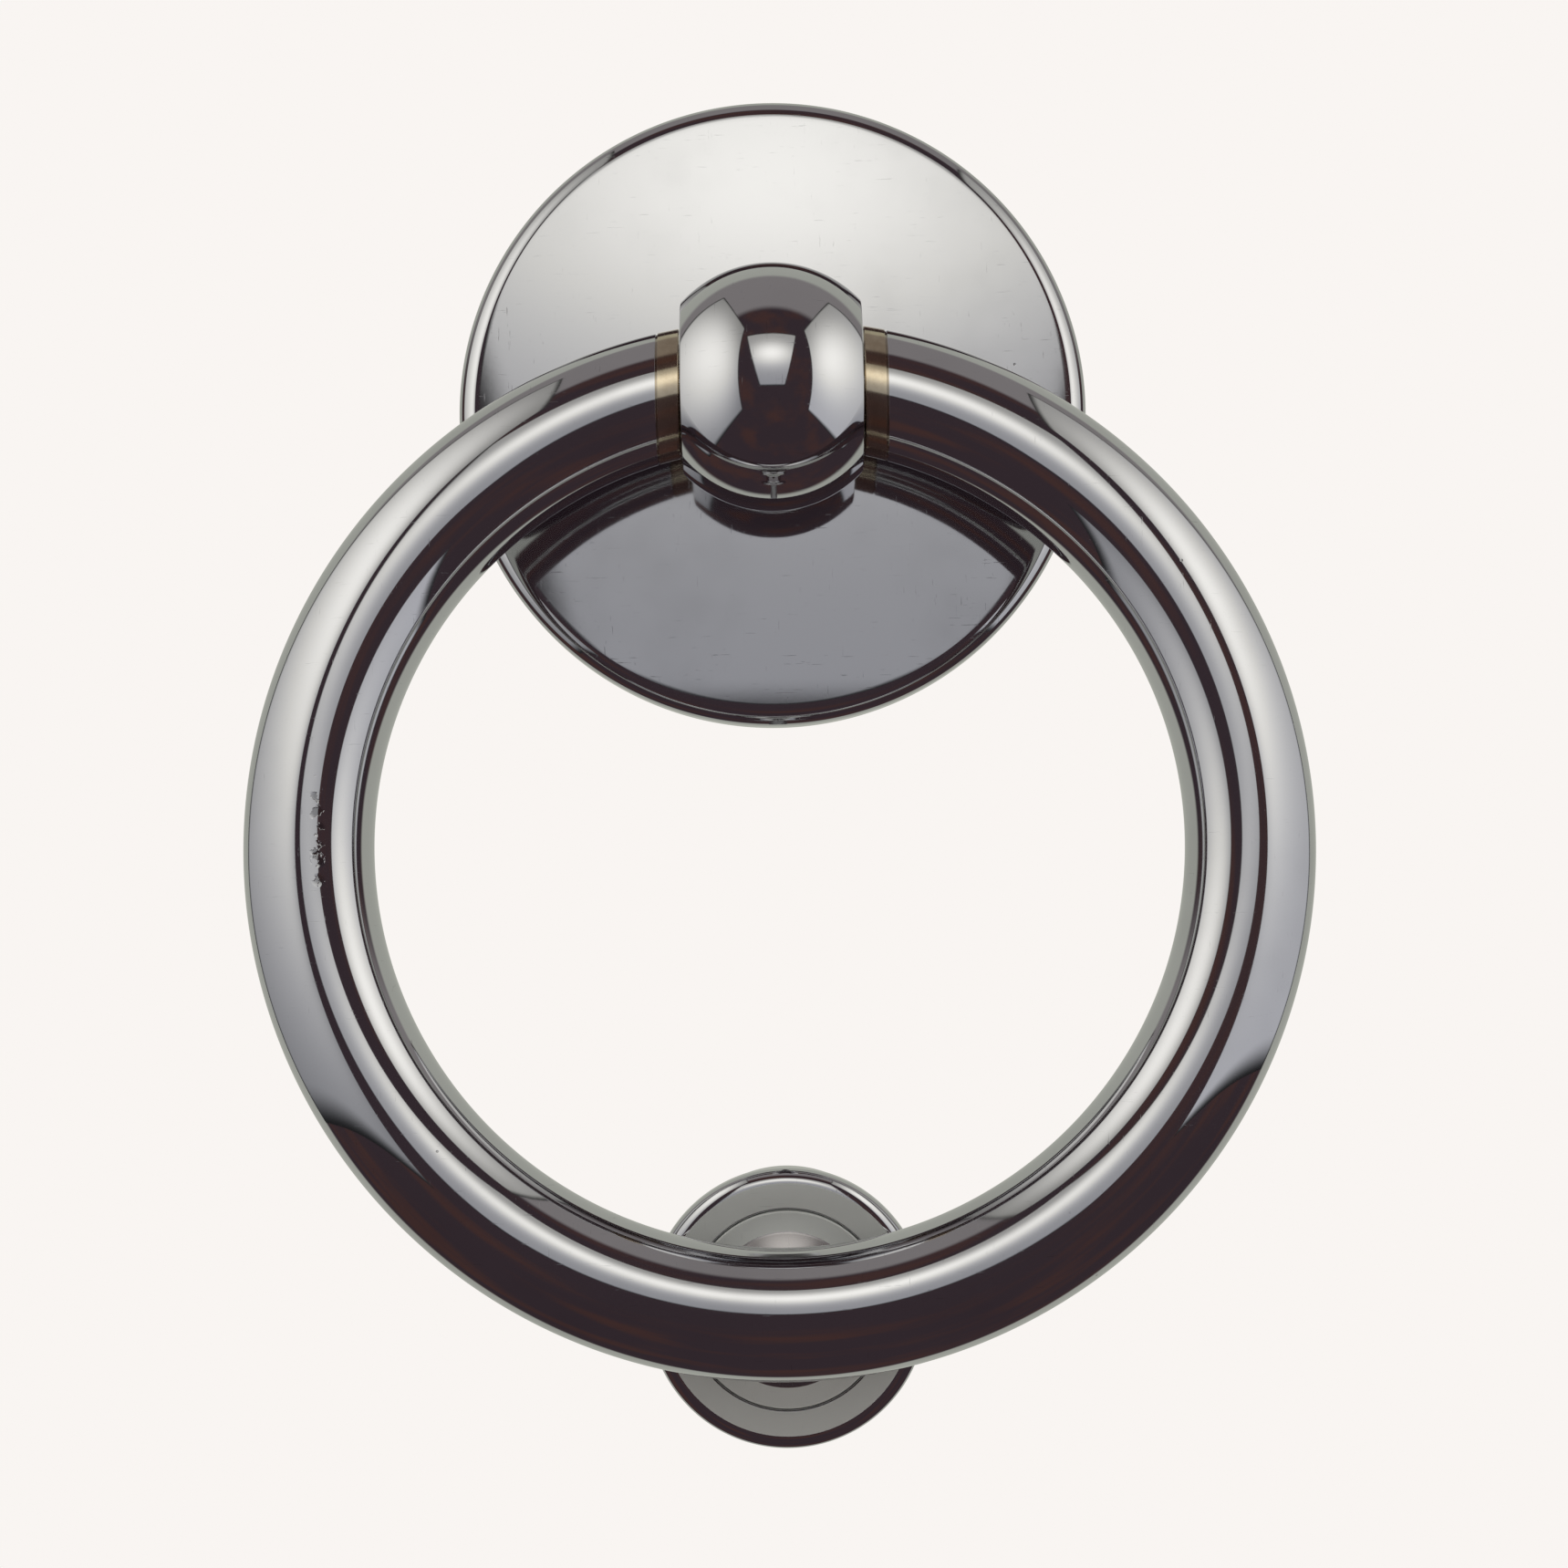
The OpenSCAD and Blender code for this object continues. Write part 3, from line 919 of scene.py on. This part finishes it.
world = bpy.data.worlds.new("studio_world")
bpy.context.scene.world = world
world.use_nodes = True
world.node_tree.nodes.clear()
sky = Wire(world.node_tree)
direction = sky.node("TexCoord", {}, {}, out=0)
forward = sky.node("SeparateXYZ", {}, {0: direction}, out=1)
upward = sky.node("SeparateXYZ", {}, {0: direction}, out=2)
room = cloud(sky, direction, 2.5, detail=3.0).step_up(0.45, 0.7).blend(dark_brown, red_brown)
overhead = forward.step_up(-0.42, -0.3) * upward.step_up(0.2, 0.5)
behind = (forward + sky.maths("MINIMUM", upward, 0.0) * 0.25).step_up(0.36, 0.46)
mirrored = sky.node("LightPath", {}, {}, out=3)
room = overhead.blend(room, overhead_grey)
room = behind.blend(room, backdrop_grey)
shown = mirrored.blend(pale, room)
glow = sky.node("Background", {}, {"Color": shown, "Strength": 1.0})
sky.node("OutputWorld", {}, {"Surface": glow})
print("nodes in the world:", len(world.node_tree.nodes))

# %% Lay the floor
floor_z = -0.25
floor_x = 0.3
floor_front = -0.35
floor_back = 0.28
floor_mesh = bpy.data.meshes.new("floor")
floor_mesh.from_pydata([
    (-floor_x, floor_front, floor_z), (floor_x, floor_front, floor_z),
    (floor_x, floor_back, floor_z), (-floor_x, floor_back, floor_z),
], [], [(0, 1, 2, 3)])
floor = bpy.data.objects.new("floor", floor_mesh)
bpy.context.scene.collection.objects.link(floor)
material, sheet = fresh_material("floor_card")
fibre = cloud(sheet, sheet.node("TexCoord", {}, {}, out=3), 300.0, detail=4.0)
paper = sheet.node("BsdfPrincipled", {}, {
    "Base Color": fibre.blend((0.86, 0.84, 0.82), (0.82, 0.80, 0.78)), "Roughness": 0.8})
sheet.node("OutputMaterial", {}, {"Surface": paper})
dress(floor, material)
floor.visible_glossy = False
print("floor laid at", floor_z, "m")

# %% [markdown]
# ## The camera
# The camera stands about level with the lower half of the ring and looks slightly up, from only a
# third of a metre away, so what is nearer to it looks larger. It is held a degree off level.

# %% Set up the camera
lens_mm = 73.8
sensor_mm = 36.0
look_up = math.radians(2.21)
look_left = math.radians(-0.04)
tilt = math.radians(0.97)
stand = Vector((0.3, -335.5, -51.3)) * mm

level = Vector((-math.sin(look_left), math.cos(look_left), 0))
ahead = level * math.cos(look_up) + Vector((0, 0, math.sin(look_up)))
right = ahead.cross(Vector((0, 0, 1))).normalized()
up = right.cross(ahead)
tilted_right = right * math.cos(tilt) - up * math.sin(tilt)
tilted_up = up * math.cos(tilt) + right * math.sin(tilt)
camera_data = bpy.data.cameras.new("camera")
camera_data.lens = lens_mm
camera_data.sensor_width = sensor_mm
camera = bpy.data.objects.new("camera", camera_data)
bpy.context.scene.collection.objects.link(camera)
facing = Matrix((tilted_right, tilted_up, -ahead)).transposed().to_4x4()
camera.matrix_world = Matrix.Translation(stand) @ facing
bpy.context.scene.camera = camera
bpy.context.scene.view_settings.view_transform = "Standard"
print("camera at", tuple(round(value, 3) for value in stand))
